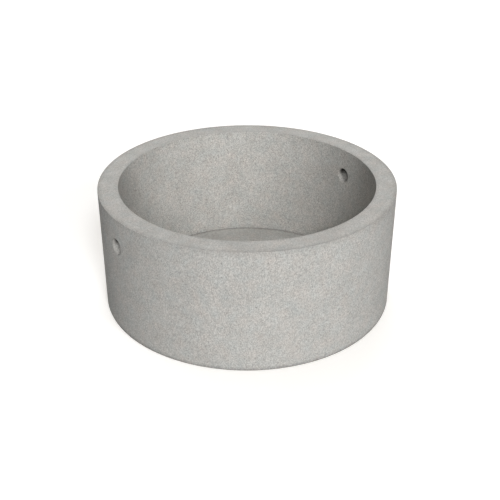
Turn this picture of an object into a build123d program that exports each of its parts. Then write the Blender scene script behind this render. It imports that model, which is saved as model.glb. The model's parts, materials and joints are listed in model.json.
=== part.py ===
from build123d import *
import os

# Concrete well ring with a base, cast in one piece and standing as it would on level ground.
# The origin is the centre of the underside, +Z is up, and the lifting holes face -X and +X.

# Driving dimensions in millimetres
clear_diameter = 1000  # clear width inside the ring
wall_thickness = 80
ring_height = 490  # from the underside to the rim
base_thickness = 10  # from the underside to the floor inside
hole_diameter = 60  # sling holes through the wall
hole_below_rim = 115  # from the rim down to the centre line of the holes
rim_rounding = 1  # arrises of the rim, inside and outside
foot_rounding = 3  # arris of the underside
hole_mouth_rounding = 3  # edges of the holes on both faces of the wall

# Sizes that follow from them
inner_radius = clear_diameter / 2
outer_radius = inner_radius + wall_thickness
hole_radius = hole_diameter / 2
hole_height = ring_height - hole_below_rim


def corner_at(section, distance, height):
    """The corner of the half section at a distance from the axis and a height."""
    return section.vertices().sort_by_distance((distance, height))[0]


def half_section():
    """Half of the upright cut through wall and base, with the outer arrises rounded.

    It stands in the YZ plane, so that the seam of the turned faces stays clear of the holes.
    """
    with BuildSketch(Plane.YZ) as section:
        with BuildLine():
            Polyline(
                (0, 0),
                (outer_radius, 0),
                (outer_radius, ring_height),
                (inner_radius, ring_height),
                (inner_radius, base_thickness),
                (0, base_thickness),
                close=True,
            )
        make_face()
        fillet(corner_at(section, outer_radius, ring_height), rim_rounding)
        fillet(corner_at(section, inner_radius, ring_height), rim_rounding)
        fillet(corner_at(section, outer_radius, 0), foot_rounding)
    return section.sketch


def drill_lifting_holes():
    """Cut a round hole radially through the wall on each side, in line with the other."""
    wall_middle = inner_radius + wall_thickness / 2
    with Locations((-wall_middle, 0, hole_height), (wall_middle, 0, hole_height)):
        Cylinder(hole_radius, 2 * wall_thickness, rotation=(0, 90, 0), mode=Mode.SUBTRACT)


def round_hole_mouths(ring):
    """Soften the saddle-shaped edges that the holes leave on the curved wall."""
    mouths = ring.edges(Select.LAST).filter_by(GeomType.LINE, reverse=True)
    fillet(mouths, hole_mouth_rounding)


def well_ring():
    """The whole casting: wall and base turned about the upright axis, then drilled."""
    with BuildPart() as ring:
        add(half_section())
        revolve(axis=Axis.Z)
        drill_lifting_holes()
        round_hole_mouths(ring)
    return ring.part


os.makedirs("parts", exist_ok=True)
export_step(well_ring(), "parts/well_ring.step")
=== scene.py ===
import json
import math
import random

import bmesh
import bpy
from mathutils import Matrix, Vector

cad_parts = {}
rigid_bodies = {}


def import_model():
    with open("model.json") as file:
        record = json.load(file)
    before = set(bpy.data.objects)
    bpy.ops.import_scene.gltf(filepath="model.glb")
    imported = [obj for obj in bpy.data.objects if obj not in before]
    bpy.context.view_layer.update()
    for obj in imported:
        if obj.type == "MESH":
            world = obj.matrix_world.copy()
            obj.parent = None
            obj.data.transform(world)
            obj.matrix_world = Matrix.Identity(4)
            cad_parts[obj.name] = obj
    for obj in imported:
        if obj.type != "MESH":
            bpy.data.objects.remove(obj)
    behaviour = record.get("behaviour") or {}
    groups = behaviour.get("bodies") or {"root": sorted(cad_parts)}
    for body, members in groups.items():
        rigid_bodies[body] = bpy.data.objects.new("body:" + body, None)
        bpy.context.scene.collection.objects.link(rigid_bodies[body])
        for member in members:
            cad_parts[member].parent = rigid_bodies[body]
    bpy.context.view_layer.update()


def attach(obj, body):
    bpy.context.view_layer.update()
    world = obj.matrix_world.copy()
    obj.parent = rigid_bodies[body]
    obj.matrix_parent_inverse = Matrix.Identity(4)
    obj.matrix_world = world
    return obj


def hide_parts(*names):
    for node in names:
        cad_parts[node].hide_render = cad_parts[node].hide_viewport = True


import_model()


# The casting is the whole product: a ring wall with a thin base, of grey concrete, vibrated in a steel
# mould and struck off level at the rim. It is modelled as a drum that is hollowed from the rim down to
# the floor, with its arrises rounded and its faces divided finely enough to take the unevenness.
outer_radius = 0.580
clear_radius = 0.500
casting_height = 0.490
base_thickness = 0.010
rim_rounding = 0.001
foot_rounding = 0.003
wall_thickness = outer_radius - clear_radius

flats_round = 560  # flats that make up the round of the walls
wall_cuts = 60  # level cuts that divide each wall
rim_cuts = 9  # round cuts that divide the rim
floor_rings = 7  # rings that divide the floor, each as wide as the next value says
floor_ring_width = 0.06
square_on = 0.9  # how much of a normal runs along an axis, at least, when its face is square to the axis
hair = 0.0005  # the distance within which two places are taken for one


def leave_nothing_selected():
    """The CAD part is selected when it is loaded, and would be edited along."""
    for thing in bpy.data.objects:
        thing.select_set(False)


def work_on(thing):
    """Makes a thing the only one selected, and the active one."""
    leave_nothing_selected()
    thing.select_set(True)
    bpy.context.view_layer.objects.active = thing


def pick_faces(wanted):
    """In edit mode: selects the faces whose centre and normal are wanted, and no others."""
    bpy.ops.mesh.select_mode(type="FACE")
    bpy.ops.mesh.select_all(action="DESELECT")
    mesh = bpy.context.object.data
    editing = bmesh.from_edit_mesh(mesh)
    for face in editing.faces:
        if wanted(face.calc_center_median(), face.normal):
            face.select_set(True)
    bmesh.update_edit_mesh(mesh)


def pick_edges(wanted):
    """In edit mode: selects the edges whose two ends are wanted, and no others."""
    bpy.ops.mesh.select_mode(type="EDGE")
    bpy.ops.mesh.select_all(action="DESELECT")
    mesh = bpy.context.object.data
    editing = bmesh.from_edit_mesh(mesh)
    for edge in editing.edges:
        if wanted(edge.verts[0].co, edge.verts[1].co):
            edge.select_set(True)
    bmesh.update_edit_mesh(mesh)


def reach(point):
    """How far a point lies from the upright axis."""
    return math.hypot(point.x, point.y)


def runs_round(start, end, height, radius):
    """Whether an edge lies on the circle at that height and radius."""
    return all(abs(point.z - height) < hair and abs(reach(point) - radius) < hair for point in (start, end))


leave_nothing_selected()
bpy.ops.mesh.primitive_cylinder_add(
    vertices=flats_round, radius=outer_radius, depth=casting_height, location=(0, 0, casting_height / 2)
)
casting = bpy.context.object
casting.name = "well_ring_casting"
bpy.ops.object.transform_apply(location=True, rotation=False, scale=False)

bpy.ops.object.mode_set(mode="EDIT")
pick_faces(lambda centre, normal: normal.z > square_on)
bpy.ops.mesh.inset(thickness=wall_thickness)
bpy.ops.mesh.extrude_region_move(TRANSFORM_OT_translate={"value": (0, 0, base_thickness - casting_height)})

pick_edges(
    lambda start, end: runs_round(start, end, casting_height, outer_radius)
    or runs_round(start, end, casting_height, clear_radius)
)
bpy.ops.mesh.bevel(offset=rim_rounding, segments=2, affect="EDGES")
pick_edges(lambda start, end: runs_round(start, end, 0, outer_radius))
bpy.ops.mesh.bevel(offset=foot_rounding, segments=2, affect="EDGES")

pick_edges(lambda start, end: abs(start.z - end.z) > casting_height / 2)
bpy.ops.mesh.subdivide(number_cuts=wall_cuts)
pick_edges(
    lambda start, end: start.z > casting_height / 2 and abs(reach(start) - reach(end)) > wall_thickness / 2
)
bpy.ops.mesh.subdivide(number_cuts=rim_cuts)
pick_faces(lambda centre, normal: normal.z > square_on and centre.z < casting_height / 2)
for floor_ring in range(floor_rings):
    bpy.ops.mesh.inset(thickness=floor_ring_width)
bpy.ops.object.mode_set(mode="OBJECT")


# The lifting holes are left by two round cores that pass through the wall facing each other, for the
# slings of a crane. Each mouth is rounded all round, and follows the curve of the wall.
hole_radius = 0.030
hole_height = 0.375
mouth_rounding = 0.003
core_flats = 64
mouth_steps = (18, 36, 54, 72, 90)  # degrees of the rounding at which the core widens
core_end = 0.012  # how far a core stands out of the wall
wall_middle = (outer_radius + clear_radius) / 2

leave_nothing_selected()
bpy.ops.mesh.primitive_cylinder_add(
    vertices=core_flats,
    radius=hole_radius,
    depth=wall_thickness - 2 * mouth_rounding,
    location=(wall_middle, 0, hole_height),
    rotation=(0, math.pi / 2, 0),
)
cores = bpy.context.object
cores.name = "cores_of_the_lifting_holes"
bpy.ops.object.transform_apply(location=True, rotation=True, scale=False)
bpy.ops.object.mode_set(mode="EDIT")
for outwards in (1, -1):
    pick_faces(lambda centre, normal: normal.x * outwards > square_on)
    flare, depth = hole_radius, 0
    for step in mouth_steps:
        wider = hole_radius + mouth_rounding * (1 - math.cos(math.radians(step)))
        deeper = mouth_rounding * math.sin(math.radians(step))
        bpy.ops.mesh.extrude_region_move(
            TRANSFORM_OT_translate={"value": (outwards * (deeper - depth), 0, 0)}
        )
        bpy.ops.transform.resize(
            value=(1, wider / flare, wider / flare), center_override=(0, 0, hole_height)
        )
        flare, depth = wider, deeper
    bpy.ops.mesh.extrude_region_move(TRANSFORM_OT_translate={"value": (outwards * core_end, 0, 0)})
bpy.ops.object.mode_set(mode="OBJECT")
for corner in cores.data.vertices:
    face_radius = outer_radius if corner.co.x > wall_middle else clear_radius
    corner.co.x -= face_radius - math.sqrt(face_radius**2 - corner.co.y**2)
bpy.ops.object.duplicate()
bpy.ops.transform.rotate(value=math.pi, orient_axis="Z", center_override=(0, 0, 0))
bpy.ops.object.transform_apply(location=True, rotation=True, scale=True)
cores.select_set(True)
bpy.context.view_layer.objects.active = cores
bpy.ops.object.join()


def cut_away(cutter):
    """Cuts a shape out of the casting, and throws the shape away."""
    work_on(casting)
    cut = casting.modifiers.new("cut", "BOOLEAN")
    cut.operation = "DIFFERENCE"
    cut.solver = "MANIFOLD"
    cut.object = cutter
    bpy.ops.object.modifier_apply(modifier=cut.name)
    bpy.data.objects.remove(cutter)


cut_away(cores)


# The skin of the casting is a little uneven, as the mould, the wear of its plates and the float leave it:
# shallow waves over the walls and the floor, and arrises that have crumbled by a few tenths of a
# millimetre. All of it goes into the concrete, so that nothing stands proud of the sizes above.
leaning = 0.5  # the upright share of a normal that parts the walls from the level faces


def mark_faces(name, wanted):
    """In edit mode: gives the casting a group of the wanted faces, for the unevenness to work on."""
    pick_faces(wanted)
    bpy.ops.object.vertex_group_add()
    bpy.ops.object.vertex_group_assign()
    casting.vertex_groups[-1].name = name


def on_a_rim_arris(centre):
    """Whether a place is on or beside the rounding of one of the rim's two edges."""
    close = 2 * rim_rounding
    at_an_edge = reach(centre) > outer_radius - close or reach(centre) < clear_radius + close
    return centre.z > casting_height - rim_rounding and at_an_edge


bpy.ops.object.mode_set(mode="EDIT")
mark_faces(
    "cast faces",
    lambda centre, normal: abs(normal.z) < leaning or (normal.z > leaning and centre.z < casting_height / 2),
)
mark_faces("rim arrises", lambda centre, normal: on_a_rim_arris(centre))
bpy.ops.object.mode_set(mode="OBJECT")

for group, patch_width, depth in (
    ("cast faces", 0.14, 0.0005),
    ("cast faces", 0.035, 0.0002),
    ("rim arrises", 0.018, 0.0003),
):
    unevenness = bpy.data.textures.new("unevenness", "CLOUDS")
    unevenness.noise_scale = patch_width
    unevenness.noise_depth = 1
    wear = casting.modifiers.new("unevenness", "DISPLACE")
    wear.texture = unevenness
    wear.texture_coords = "LOCAL"
    wear.vertex_group = group
    wear.mid_level = 1
    wear.strength = depth
    bpy.ops.object.modifier_apply(modifier=wear.name)
casting.vertex_groups.clear()


# The pores are holes that trapped air leaves against the mould, 2 to 7 mm wide, fewer the bigger they
# are. One bubble is modelled, and copied to places all over the walls, the rim and the floor.
pore_count = 190
pore_spacing = 0.012
clear_of_a_hole = 0.045
smallest_pore = 0.0011  # radius
pore_growth = 0.0025  # what the largest has more than the smallest
pore_rarity = 2.6  # how much rarer the large ones are
wall_pore_heights = (0.02, 0.47)
rim_pore_reach = (0.51, 0.57)  # from the upright axis
floor_pore_reach = 0.48
smooth_below = 34  # degrees between two flats that are shaded as one round

leave_nothing_selected()
bpy.ops.mesh.primitive_ico_sphere_add(subdivisions=2, radius=1)
bubble = bpy.context.object
bpy.ops.object.mode_set(mode="EDIT")
bpy.ops.transform.vertex_random(offset=0.16, seed=4)
bpy.ops.object.mode_set(mode="OBJECT")

chance = random.Random(1160)
bubbles = []
pore_places = []
hole_mouths = [
    Vector((side * face_radius, 0, hole_height))
    for side in (1, -1)
    for face_radius in (outer_radius, clear_radius)
]
while len(bubbles) < pore_count:
    turn = chance.uniform(0, 2 * math.pi)
    size = smallest_pore + pore_growth * chance.random() ** pore_rarity
    face = chance.random()
    if face < 0.55:
        inwards = Vector((-math.cos(turn), -math.sin(turn), 0))
        distance, height = outer_radius, chance.uniform(*wall_pore_heights)
    elif face < 0.88:
        inwards = Vector((math.cos(turn), math.sin(turn), 0))
        distance, height = clear_radius, chance.uniform(*wall_pore_heights)
    elif face < 0.94:
        inwards = Vector((0, 0, -1))
        distance, height = chance.uniform(*rim_pore_reach), casting_height
    else:
        inwards = Vector((0, 0, -1))
        distance, height = floor_pore_reach * math.sqrt(chance.random()), base_thickness
    place = Vector((math.cos(turn) * distance, math.sin(turn) * distance, height))
    if any((place - mouth).length < clear_of_a_hole for mouth in hole_mouths):
        continue
    if any((place - other).length < pore_spacing for other in pore_places):
        continue
    pore_places.append(place)
    copy = bpy.data.objects.new("bubble", bubble.data.copy())
    bpy.context.collection.objects.link(copy)
    copy.location = place + inwards * (0.0004 + 0.25 * size)
    copy.rotation_euler = [chance.uniform(0, 6) for axis in range(3)]
    copy.scale = [size * chance.uniform(0.8, 1.25) for axis in range(3)]
    bubbles.append(copy)
bpy.data.objects.remove(bubble)
leave_nothing_selected()
for copy in bubbles:
    copy.select_set(True)
bpy.context.view_layer.objects.active = bubbles[0]
bpy.ops.object.join()
bpy.ops.object.transform_apply(location=True, rotation=True, scale=True)
cut_away(bpy.context.object)

work_on(casting)
bpy.ops.object.shade_smooth_by_angle(angle=math.radians(smooth_below))


# The concrete is cement and river sand. A face takes its finish from what it was cast against: the mould
# outside, its core inside, the striking board on the rim, a float on the floor, the ground plate below.
# All of them show the same sand, cement and pores, each to its own measure.
cool_cement = (0.925, 0.999, 1.040, 1)  # these two multiply the greys
warm_cement = (1.075, 0.989, 0.956, 1)
# Near black: mixed in as painted shade at the foot, the floor corner and the roofs of the holes, and as a
# plain darkening along the rim's edges.
painted_shade_and_darkening_colour = (0.030, 0.028, 0.025, 1)
# Mixed into the pin holes as painted shade inside them.
pin_hole_painted_shade_colour = (0.160, 0.155, 0.145, 1)


def new_effect(name, inputs, outputs):
    """An empty node group with its inputs, their first values, and its outputs."""
    effect = bpy.data.node_groups.new(name, "ShaderNodeTree")
    for label, kind, value in inputs:
        socket = effect.interface.new_socket(label, in_out="INPUT", socket_type=kind)
        if value is not None:
            socket.default_value = value
    for label in outputs:
        effect.interface.new_socket(label, in_out="OUTPUT", socket_type="NodeSocketFloat")
    start = effect.nodes.new("NodeGroupInput")
    end = effect.nodes.new("NodeGroupOutput")
    return effect, start, end


def node(tree, kind, **settings):
    """A node with its settings made."""
    made = tree.nodes.new(kind)
    for key, value in settings.items():
        setattr(made, key, value)
    return made


def feed(tree, value, socket):
    """Gives a socket what it works on: a plain value, or the link from another socket."""
    if isinstance(value, bpy.types.NodeSocket):
        tree.links.new(value, socket)
    else:
        socket.default_value = value


def sums(tree, operation, *values):
    """A Math node on values or on sockets that give them."""
    made = node(tree, "ShaderNodeMath", operation=operation)
    for socket, value in zip(made.inputs, values):
        feed(tree, value, socket)
    return made.outputs[0]


def diagonal(tree, one, other):
    """The length across two lengths that stand square to each other."""
    return sums(tree, "SQRT", sums(tree, "MULTIPLY_ADD", one, one, sums(tree, "MULTIPLY", other, other)))


def clamped(tree, value):
    """A value held between 0 and 1."""
    made = node(tree, "ShaderNodeClamp")
    tree.links.new(value, made.inputs[0])
    return made.outputs[0]


def rise(tree, value, low, high, top=1):
    """Climbs smoothly from 0 to the top while a value goes from low to high."""
    made = node(tree, "ShaderNodeMapRange", interpolation_type="SMOOTHSTEP")
    tree.links.new(value, made.inputs["Value"])
    for label, limit in (("From Min", low), ("From Max", high), ("To Min", 0), ("To Max", top)):
        made.inputs[label].default_value = limit
    return made.outputs["Result"]


def blend(tree, kind, share, under, over):
    """A Mix node on two colours or on sockets that give them, with the share of the second one."""
    made = node(tree, "ShaderNodeMix", data_type="RGBA", blend_type=kind)
    for socket, value in zip((made.inputs[0], made.inputs[6], made.inputs[7]), (share, under, over)):
        feed(tree, value, socket)
    return made.outputs[2]


def noise(tree, place, per_metre, detail, roughness):
    """Soft noise at a place, so many patches to the metre."""
    made = node(tree, "ShaderNodeTexNoise")
    made.inputs["Detail"].default_value = detail
    made.inputs["Roughness"].default_value = roughness
    tree.links.new(place, made.inputs["Vector"])
    feed(tree, per_metre, made.inputs["Scale"])
    return made.outputs["Fac"]


def cells(tree, place, per_metre):
    """Cells at a place, so many to the metre: the distance from the middle of one, and two draws for it."""
    made = node(tree, "ShaderNodeTexVoronoi", feature="F1")
    tree.links.new(place, made.inputs["Vector"])
    feed(tree, per_metre, made.inputs["Scale"])
    draws = node(tree, "ShaderNodeSeparateColor")
    tree.links.new(made.outputs["Color"], draws.inputs[0])
    return made.outputs["Distance"], draws.outputs["Red"], draws.outputs["Green"]


def axes_of(tree, place):
    """The three distances of a place along X, Y and Z."""
    made = node(tree, "ShaderNodeSeparateXYZ")
    tree.links.new(place, made.inputs[0])
    return made.outputs["X"], made.outputs["Y"], made.outputs["Z"]


def sand_grain_effect():
    """The sand that shows in the skin: grains lighter or darker than the cement, and their relief."""
    tree, start, end = new_effect(
        "sand grain",
        [
            ("Position", "NodeSocketVector", None),
            ("Grains per metre", "NodeSocketFloat", 300),
            ("Upright shrink", "NodeSocketFloat", 1),
        ],
        ["Tone", "Relief"],
    )
    shrink = node(tree, "ShaderNodeCombineXYZ")
    shrink.inputs["X"].default_value = shrink.inputs["Y"].default_value = 1
    tree.links.new(start.outputs["Upright shrink"], shrink.inputs["Z"])
    stretched = node(tree, "ShaderNodeVectorMath", operation="MULTIPLY")
    tree.links.new(start.outputs["Position"], stretched.inputs[0])
    tree.links.new(shrink.outputs[0], stretched.inputs[1])
    fine = noise(tree, stretched.outputs[0], start.outputs["Grains per metre"], 3, 0.65)
    from_middle, shade, _ = cells(tree, stretched.outputs[0], start.outputs["Grains per metre"])
    tone = sums(tree, "MULTIPLY_ADD", shade, 0.45, sums(tree, "MULTIPLY", fine, 0.55))
    tree.links.new(tone, end.inputs["Tone"])
    tree.links.new(sums(tree, "MULTIPLY_ADD", from_middle, -0.5, fine), end.inputs["Relief"])
    return tree


def cement_clouding_effect():
    """Soft patches of richer or drier cement, and smaller ones that iron in the sand has warmed."""
    tree, start, end = new_effect(
        "cement clouding",
        [("Position", "NodeSocketVector", None), ("Patches per metre", "NodeSocketFloat", 9)],
        ["Tone", "Warmth"],
    )
    place = start.outputs["Position"]
    tree.links.new(noise(tree, place, start.outputs["Patches per metre"], 4, 0.5), end.inputs["Tone"])
    tree.links.new(noise(tree, place, 21, 4, 0.6), end.inputs["Warmth"])
    return tree


def pin_hole_effect():
    """Pores too small to model, round and sparse: a mask for their relief and for the painted shade inside
    them.
    """
    tree, start, end = new_effect(
        "pin holes",
        [
            ("Position", "NodeSocketVector", None),
            ("Cells per metre", "NodeSocketFloat", 110),
            ("Share with a hole", "NodeSocketFloat", 0.2),
            ("Size in its cell", "NodeSocketFloat", 0.16),
        ],
        ["Mask"],
    )
    from_middle, draw, second_draw = cells(tree, start.outputs["Position"], start.outputs["Cells per metre"])
    has_one = sums(tree, "LESS_THAN", draw, start.outputs["Share with a hole"])
    width = sums(tree, "MULTIPLY", start.outputs["Size in its cell"], sums(tree, "ADD", second_draw, 0.4))
    depth = sums(tree, "SUBTRACT", 1, sums(tree, "DIVIDE", from_middle, width))
    inside = clamped(tree, sums(tree, "MULTIPLY", depth, 3))
    tree.links.new(sums(tree, "MULTIPLY", inside, has_one), end.inputs["Mask"])
    return tree


def edge_shade_and_darkening_effect():
    """A ragged darkening along a round edge, given by the edge's radius and height and the reach of the
    darkening; where it runs along the foot or the floor corner it is painted shade.
    """
    tree, start, end = new_effect(
        "painted edge shade and darkening",
        [
            ("Position", "NodeSocketVector", None),
            ("Edge radius", "NodeSocketFloat", outer_radius),
            ("Edge height", "NodeSocketFloat", casting_height),
            ("Reach", "NodeSocketFloat", 0.02),
        ],
        ["Mask"],
    )
    x, y, z = axes_of(tree, start.outputs["Position"])
    aside = sums(tree, "SUBTRACT", diagonal(tree, x, y), start.outputs["Edge radius"])
    above = sums(tree, "SUBTRACT", z, start.outputs["Edge height"])
    away = sums(tree, "DIVIDE", diagonal(tree, aside, above), start.outputs["Reach"])
    near = clamped(tree, sums(tree, "SUBTRACT", 1, away))
    ragged = noise(tree, start.outputs["Position"], 60, 4, 0.5)
    uneven = sums(tree, "MULTIPLY_ADD", ragged, 1.2, 0.4)
    tree.links.new(sums(tree, "MULTIPLY", near, uneven), end.inputs["Mask"])
    return tree


sand_grain = sand_grain_effect()
cement_clouding = cement_clouding_effect()
pin_holes = pin_hole_effect()
edge_shade_and_darkening = edge_shade_and_darkening_effect()


def painted_shade_on_a_hole_roof(tree, place, shallow, deep, darkest):
    """How dark the painted shade on the roof of a hole is: nothing at the shallow depth in the wall, darkest
    at the deep one.
    """
    x, y, z = axes_of(tree, place)
    from_axis = diagonal(tree, x, y)
    depth = sums(
        tree,
        "MINIMUM",
        sums(tree, "SUBTRACT", outer_radius, from_axis),
        sums(tree, "SUBTRACT", from_axis, clear_radius),
    )
    upwards = rise(tree, z, hole_height - 0.7 * hole_radius, hole_height + 0.3 * hole_radius)
    return sums(tree, "MULTIPLY", rise(tree, depth, shallow, deep, darkest), upwards)


def concrete(
    name, dark, light, grains, upright_shrink, contrast, relief, clouds, pin_hole_share,
    shaded_and_darkened_edges=(), roof=None,
):
    """A finish of the concrete, from the two greys of its cement to the measure of its sand and pores.

    Grains and clouds are counted per metre. Each darkened edge is its radius, its height, how far its
    darkening reaches, and how dark it is; at the foot and the floor corner that darkening is painted shade.
    The roof is given
    for the bore of a hole: two depths in the wall, and how dark its painted shade is at the second one.
    """
    finish = bpy.data.materials.new(name)
    finish.use_nodes = True
    tree = finish.node_tree
    shader = tree.nodes["Principled BSDF"]
    shader.inputs["Specular IOR Level"].default_value = 0.06
    place = node(tree, "ShaderNodeTexCoord").outputs["Object"]

    def effect(group, **values):
        """An effect placed in this finish, with its own values."""
        made = node(tree, "ShaderNodeGroup", node_tree=group)
        tree.links.new(place, made.inputs["Position"])
        for label, value in values.items():
            made.inputs[label.replace("_", " ")].default_value = value
        return made.outputs

    sand = effect(sand_grain, Grains_per_metre=grains, Upright_shrink=upright_shrink)
    cloud = effect(cement_clouding, Patches_per_metre=clouds)
    pores = effect(pin_holes, Share_with_a_hole=pin_hole_share)

    cement = node(tree, "ShaderNodeValToRGB")
    for element, position, grey in zip(cement.color_ramp.elements, (0.3, 0.7), (dark, light)):
        element.position = position
        element.color = (*grey, 1)
    tree.links.new(cloud["Tone"], cement.inputs["Fac"])
    tint = blend(tree, "MIX", cloud["Warmth"], cool_cement, warm_cement)
    tinted = blend(tree, "MULTIPLY", 1, cement.outputs["Color"], tint)
    grain_shade = sums(tree, "MULTIPLY_ADD", sand["Tone"], contrast, 1 - contrast / 2)
    sanded = blend(tree, "MULTIPLY", 1, tinted, grain_shade)
    # Painted shade at the foot, the floor corner and the roof of a hole, and a darkening along the rim's
    # edges, mixed toward near black.
    painted_shade_and_darkening = 0
    for edge_radius, edge_height, darkening_reach, darkness in shaded_and_darkened_edges:
        edge_darkening = effect(edge_shade_and_darkening, Edge_radius=edge_radius, Edge_height=edge_height, Reach=darkening_reach)
        painted_shade_and_darkening = sums(tree, "MULTIPLY_ADD", edge_darkening["Mask"], darkness, painted_shade_and_darkening)
    if roof:
        painted_shade_and_darkening = sums(tree, "ADD", painted_shade_and_darkening, painted_shade_on_a_hole_roof(tree, place, *roof))
    shaded_and_darkened = blend(tree, "MIX", painted_shade_and_darkening, sanded, painted_shade_and_darkening_colour)
    # The pin holes are darkened as painted shade inside them.
    with_painted_pore_shade = blend(tree, "MIX", sums(tree, "MULTIPLY", pores["Mask"], 0.75), shaded_and_darkened, pin_hole_painted_shade_colour)
    tree.links.new(with_painted_pore_shade, shader.inputs["Base Color"])

    tree.links.new(sums(tree, "MULTIPLY_ADD", sand["Tone"], -0.25, 0.98), shader.inputs["Roughness"])
    bump = node(tree, "ShaderNodeBump")
    bump.inputs["Strength"].default_value = 1
    bump.inputs["Distance"].default_value = relief
    tree.links.new(sums(tree, "MULTIPLY_ADD", pores["Mask"], -1.5, sand["Relief"]), bump.inputs["Height"])
    tree.links.new(bump.outputs["Normal"], shader.inputs["Normal"])
    return finish


outer_rim, inner_rim = (outer_radius, casting_height), (clear_radius, casting_height)
foot, floor_corner = (outer_radius, 0), (clear_radius, base_thickness)
mould_face = concrete(
    "concrete against the mould",
    dark=(0.431, 0.424, 0.400),
    light=(0.472, 0.464, 0.438),
    grains=420,
    upright_shrink=0.6,
    contrast=1.08,
    relief=0.0010,
    clouds=11,
    pin_hole_share=0.22,
    # The rim edge is darkened; the foot gets a band of painted contact shade.
    shaded_and_darkened_edges=[(*outer_rim, 0.020, 0.14), (*foot, 0.018, 0.40)],
)
core_face = concrete(
    "concrete against the core",
    dark=(0.427, 0.420, 0.396),
    light=(0.476, 0.468, 0.441),
    grains=420,
    upright_shrink=0.6,
    contrast=1.28,
    relief=0.0010,
    clouds=11,
    pin_hole_share=0.22,
    # The rim edge is darkened; the floor corner gets a band of painted shade.
    shaded_and_darkened_edges=[(*inner_rim, 0.015, 0.12), (*floor_corner, 0.022, 0.10)],
)
struck_rim = concrete(
    "concrete struck off at the rim",
    dark=(0.412, 0.405, 0.382),
    light=(0.487, 0.479, 0.452),
    grains=400,
    upright_shrink=1,
    contrast=0.95,
    relief=0.0009,
    clouds=14,
    pin_hole_share=0.15,
    shaded_and_darkened_edges=[(*outer_rim, 0.018, 0.22), (*inner_rim, 0.014, 0.10)],
)
floated_floor = concrete(
    "concrete floated on the floor",
    # These greys are set darker than the walls' as painted shade over the floor.
    dark=(0.385, 0.378, 0.356),
    light=(0.461, 0.453, 0.427),
    grains=300,
    upright_shrink=1,
    contrast=0.9,
    relief=0.0008,
    clouds=7,
    pin_hole_share=0.12,
    # The corner by the wall gets a band of painted shade.
    shaded_and_darkened_edges=[(*floor_corner, 0.016, 0.40)],
)
ground_face = concrete(
    "concrete on the ground plate",
    dark=(0.367, 0.360, 0.338),
    light=(0.451, 0.444, 0.418),
    grains=260,
    upright_shrink=1,
    contrast=1.0,
    relief=0.0011,
    clouds=8,
    pin_hole_share=0.3,
)
hole_bore = concrete(
    "concrete in the bores, with painted roof shade",
    dark=(0.376, 0.370, 0.348),
    light=(0.442, 0.434, 0.410),
    grains=260,
    upright_shrink=1,
    contrast=1.0,
    relief=0.0010,
    clouds=12,
    pin_hole_share=0.2,
    # Painted shade in the roof of each bore, deepening into the wall.
    roof=(0.002, 0.020, 0.93),
)


margin = 0.001  # how far a finish runs on past the face that it belongs to


def in_a_hole(centre):
    """Whether a place is on the bore of a lifting hole, past the start of its rounded mouth."""
    in_the_bore = math.hypot(centre.y, centre.z - hole_height) < hole_radius + margin
    return in_the_bore and clear_radius + margin < reach(centre) < outer_radius - margin


casting.data.materials.clear()
for finish in (mould_face, core_face, struck_rim, floated_floor, ground_face, hole_bore):
    casting.data.materials.append(finish)
bpy.ops.object.mode_set(mode="EDIT")
for finish, wanted in (
    (core_face, lambda centre, normal: reach(centre) < wall_middle),
    (struck_rim, lambda centre, normal: centre.z > casting_height - 3 * margin and normal.z > 0.7),
    (floated_floor, lambda centre, normal: centre.z < base_thickness + margin and normal.z > 0.2),
    (ground_face, lambda centre, normal: centre.z < margin and normal.z < -0.7),
    (hole_bore, lambda centre, normal: in_a_hole(centre)),
):
    pick_faces(wanted)
    casting.active_material_index = casting.data.materials.find(finish.name)
    bpy.ops.object.material_slot_assign()
bpy.ops.object.mode_set(mode="OBJECT")

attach(casting, "root")
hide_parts("well_ring")


# The studio floor is a plain pale sheet that runs out of sight. The camera sees it as white, with the
# object's shadow still on it, and the object gets the light of a grey floor from it.
floor_width = 60

leave_nothing_selected()
bpy.ops.mesh.primitive_plane_add(size=floor_width, location=(0, 0, 0))
floor = bpy.context.object
floor.name = "studio_floor"


def seen_directly(tree):
    """1 for what the camera sees directly, or in a gloss, or through glass."""
    path = node(tree, "ShaderNodeLightPath")
    either = sums(tree, "MAXIMUM", path.outputs["Is Camera Ray"], path.outputs["Is Glossy Ray"])
    return sums(tree, "MAXIMUM", either, path.outputs["Is Transmission Ray"])


sheet = bpy.data.materials.new("studio floor sheet")
sheet.use_nodes = True
sheet_tree = sheet.node_tree
sheet_shader = sheet_tree.nodes["Principled BSDF"]
seen = seen_directly(sheet_tree)
pale = blend(sheet_tree, "MIX", seen, (0.33, 0.335, 0.34, 1), (0.95, 0.97, 1.00, 1))
sheet_tree.links.new(pale, sheet_shader.inputs["Base Color"])
sheet_shader.inputs["Roughness"].default_value = 1
sheet_shader.inputs["Specular IOR Level"].default_value = 0
sheet_shader.inputs["Emission Color"].default_value = (0.203, 0.170, 0.121, 1)
sheet_tree.links.new(seen, sheet_shader.inputs["Emission Strength"])
floor.data.materials.append(sheet)


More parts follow.
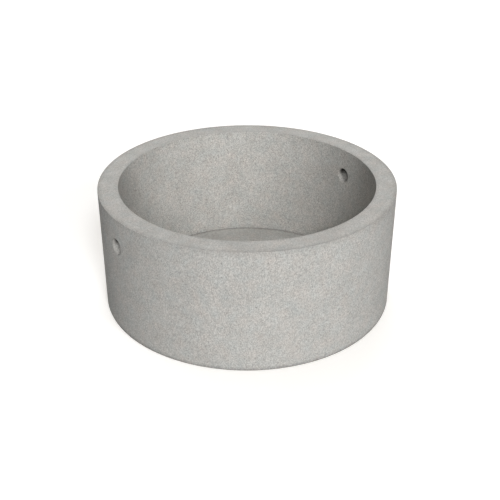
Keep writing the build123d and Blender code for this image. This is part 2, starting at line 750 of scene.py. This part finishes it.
# The studio light is soft and comes mostly from the front: a main lamp above the camera, a broad low one
# that fills its shadows, and one to each side. Two broad lamps behind light the rim and the far side.
def studio_lamp(name, azimuth, elevation, softness, strength):
    """A far lamp, with its angles in degrees and its azimuth counted from +X.

    Strength 1 shows a face that is turned to it in its own colour.
    """
    lamp = bpy.data.lights.new(name, "SUN")
    lamp.energy = strength * math.pi
    lamp.angle = math.radians(softness)
    holder = bpy.data.objects.new(name, lamp)
    bpy.context.collection.objects.link(holder)
    turn, rising = math.radians(azimuth), math.radians(elevation)
    level = math.cos(rising)
    towards = Vector((math.cos(turn) * level, math.sin(turn) * level, math.sin(rising)))
    holder.rotation_euler = towards.to_track_quat("Z", "Y").to_euler()


studio_lamp("main lamp", azimuth=-110, elevation=40, softness=14, strength=0.403)
studio_lamp("broad front lamp", azimuth=-110, elevation=20, softness=40, strength=0.365)
studio_lamp("left lamp", azimuth=-132, elevation=30, softness=10, strength=0.290)
studio_lamp("right lamp", azimuth=-80, elevation=30, softness=10, strength=0.178)
studio_lamp("high back lamp", azimuth=83, elevation=72, softness=40, strength=0.288)
studio_lamp("low back lamp", azimuth=55, elevation=22, softness=40, strength=0.260)

world = bpy.data.worlds.new("studio")
bpy.context.scene.world = world
world.use_nodes = True
backdrop = world.node_tree.nodes["Background"]
backdrop.inputs["Color"].default_value = (1, 1, 1, 1)
world.node_tree.links.new(seen_directly(world.node_tree), backdrop.inputs["Strength"])


# The camera stands where the photograph was taken from, to the left of the lifting hole on the -X side.
# Its place, its two angles and its focal length come from fitting it to the outline of the ring.
picture_width = 500  # pixels
focal_length = 848.3  # pixels
camera_place = (-1.7336, -2.4758, 1.8845)
camera_turn = math.radians(54.792)  # from +X
camera_fall = math.radians(29.537)  # below level

lens = bpy.data.cameras.new("camera")
lens.sensor_width = 36
lens.lens = focal_length * lens.sensor_width / picture_width
camera = bpy.data.objects.new("camera", lens)
bpy.context.collection.objects.link(camera)
camera.location = camera_place
level = math.cos(camera_fall)
looking = Vector((math.cos(camera_turn) * level, math.sin(camera_turn) * level, -math.sin(camera_fall)))
camera.rotation_euler = looking.to_track_quat("-Z", "Y").to_euler()
bpy.context.scene.camera = camera

bpy.context.scene.view_settings.view_transform = "Standard"
